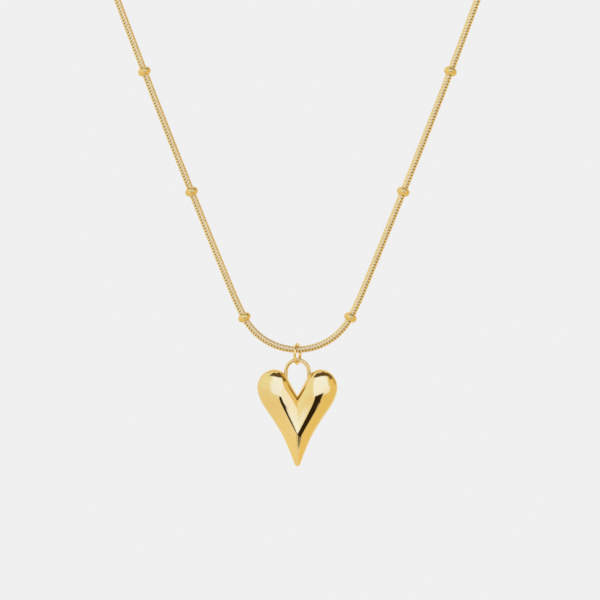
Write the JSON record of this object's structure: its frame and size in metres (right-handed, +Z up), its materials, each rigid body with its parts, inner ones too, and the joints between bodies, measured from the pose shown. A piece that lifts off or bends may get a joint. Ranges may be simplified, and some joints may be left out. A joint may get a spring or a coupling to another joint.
{
  "type": "pendant necklace",
  "caption": "Fine round chain necklace with spaced beads, a puffed heart pendant on a half-ring bail, a lobster clasp and a short extender chain.",
  "frame": {"origin": "middle of the neck opening, level with the chain at the nape", "axes": "+Z up, along the hanging front; -Y faces the viewer; +X to the right in the front view"},
  "size_m": [0.1064, 0.0843, 0.1424],
  "materials": {
    "snake_chain": "gold plated, bright, finely ribbed",
    "bead": "gold plated, polished",
    "heart": "gold plated, mirror polished",
    "wire": "gold plated, polished",
    "cast": "gold plated, satin polished",
    "spring_steel": "bright drawn wire"
  },
  "bodies": {
    "neck_chain": {"chain_left_4": "snake_chain", "bead_left_4": "bead", "chain_right_4": "snake_chain", "bead_right_4": "bead", "chain_left_5": "snake_chain", "bead_left_5": "bead", "chain_right_5": "snake_chain", "bead_right_5": "bead", "chain_left_6": "snake_chain", "bead_left_6": "bead", "chain_right_6": "snake_chain", "bead_right_6": "bead", "chain_left_7": "snake_chain", "bead_left_7": "bead", "chain_right_7": "snake_chain", "bead_right_7": "bead", "chain_left_8": "snake_chain", "bead_left_8": "bead", "chain_right_8": "snake_chain", "bead_right_8": "bead", "end_cap_left": "cast", "end_cap_right": "cast"},
    "drop_upper": {"chain_left_3": "snake_chain", "bead_left_3": "bead", "chain_right_3": "snake_chain", "bead_right_3": "bead"},
    "drop_middle": {"chain_left_2": "snake_chain", "bead_left_2": "bead", "chain_right_2": "snake_chain", "bead_right_2": "bead"},
    "drop_lower": {"chain_left_1": "snake_chain", "bead_left_1": "bead", "chain_right_1": "snake_chain", "bead_right_1": "bead"},
    "drop_bottom": {"chain_bottom": "snake_chain"},
    "pendant_ring": {"pendant_ring": "wire"},
    "pendant": {"heart_bail": "wire", "heart_front_shell": "heart", "heart_back_shell": "heart"},
    "clasp_ring": {"clasp_ring": "wire"},
    "clasp": {"clasp_body": "cast", "clasp_rivet": "wire", "clasp_spring": "spring_steel"},
    "clasp_lever": {"clasp_lever": "cast"},
    "extender_link_1": {"extender_link_1": "wire"},
    "extender_link_2": {"extender_link_2": "wire"},
    "extender_link_3": {"extender_link_3": "wire"},
    "extender_link_4": {"extender_link_4": "wire"},
    "extender_link_5": {"extender_link_5": "wire"},
    "extender_link_6": {"extender_link_6": "wire"},
    "extender_link_7": {"extender_link_7": "wire"},
    "extender_ball": {"extender_ball": "wire"}
  },
  "joints": [
    {"name": "drop_upper_swing", "type": "hinge", "parent": "neck_chain", "child": "drop_upper", "pos_m": [0, -0.039, -0.04082], "axis": [1, 0, 0], "range_deg": [-30, 30]},
    {"name": "drop_middle_swing", "type": "hinge", "parent": "drop_upper", "child": "drop_middle", "pos_m": [0, -0.039, -0.06461], "axis": [1, 0, 0], "range_deg": [-30, 30]},
    {"name": "drop_lower_swing", "type": "hinge", "parent": "drop_middle", "child": "drop_lower", "pos_m": [0, -0.039, -0.0877], "axis": [1, 0, 0], "range_deg": [-30, 30]},
    {"name": "drop_bottom_swing", "type": "hinge", "parent": "drop_lower", "child": "drop_bottom", "pos_m": [0, -0.039, -0.11185], "axis": [1, 0, 0], "range_deg": [-30, 30]},
    {"name": "pendant_ring_swing", "type": "hinge", "parent": "drop_bottom", "child": "pendant_ring", "pos_m": [0, -0.039, -0.118], "axis": [1, 0, 0], "range_deg": [-60, 60]},
    {"name": "pendant_sway", "type": "hinge", "parent": "pendant_ring", "child": "pendant", "pos_m": [0, -0.039, -0.12222], "axis": [0, 1, 0], "range_deg": [-35, 35]},
    {"name": "clasp_ring_roll", "type": "hinge", "parent": "neck_chain", "child": "clasp_ring", "pos_m": [-0.0091, 0.039, 0], "axis": [1, 0, 0], "range_deg": [-8, 8]},
    {"name": "clasp_roll", "type": "hinge", "parent": "clasp_ring", "child": "clasp", "pos_m": [-0.00534, 0.039, 0], "axis": [1, 0, 0], "range_deg": [-4, 4]},
    {"name": "clasp_lever_press", "type": "hinge", "parent": "clasp", "child": "clasp_lever", "pos_m": [-0.0025, 0.039, 0.0002], "axis": [0, 1, 0], "range_deg": [0, 18], "stiffness_Nm_per_rad": 0.002, "springref_deg": -11.46, "deforming": ["clasp_spring"]},
    {"name": "extender_turn", "type": "hinge", "parent": "neck_chain", "child": "extender_link_1", "pos_m": [0.00891, 0.039, -0.00018], "axis": [0, 0, 1], "range_deg": [-3, 3]},
    {"name": "extender_swing_2", "type": "hinge", "parent": "extender_link_1", "child": "extender_link_2", "pos_m": [0.00581, 0.0408, -0.00018], "axis": [1, 0, 0], "range_deg": [-25, 25]},
    {"name": "extender_swing_3", "type": "hinge", "parent": "extender_link_2", "child": "extender_link_3", "pos_m": [0.00581, 0.0408, -0.00554], "axis": [0, 1, 0], "range_deg": [-25, 25]},
    {"name": "extender_swing_4", "type": "hinge", "parent": "extender_link_3", "child": "extender_link_4", "pos_m": [0.00581, 0.0408, -0.0109], "axis": [1, 0, 0], "range_deg": [-25, 25]},
    {"name": "extender_swing_5", "type": "hinge", "parent": "extender_link_4", "child": "extender_link_5", "pos_m": [0.00581, 0.0408, -0.01626], "axis": [0, 1, 0], "range_deg": [-25, 25]},
    {"name": "extender_swing_6", "type": "hinge", "parent": "extender_link_5", "child": "extender_link_6", "pos_m": [0.00581, 0.0408, -0.02162], "axis": [1, 0, 0], "range_deg": [-25, 25]},
    {"name": "extender_swing_7", "type": "hinge", "parent": "extender_link_6", "child": "extender_link_7", "pos_m": [0.00581, 0.0408, -0.02698], "axis": [0, 1, 0], "range_deg": [-25, 25]},
    {"name": "extender_ball_swing", "type": "hinge", "parent": "extender_link_7", "child": "extender_ball", "pos_m": [0.00581, 0.0408, -0.03234], "axis": [1, 0, 0], "range_deg": [-25, 25]}
  ]
}
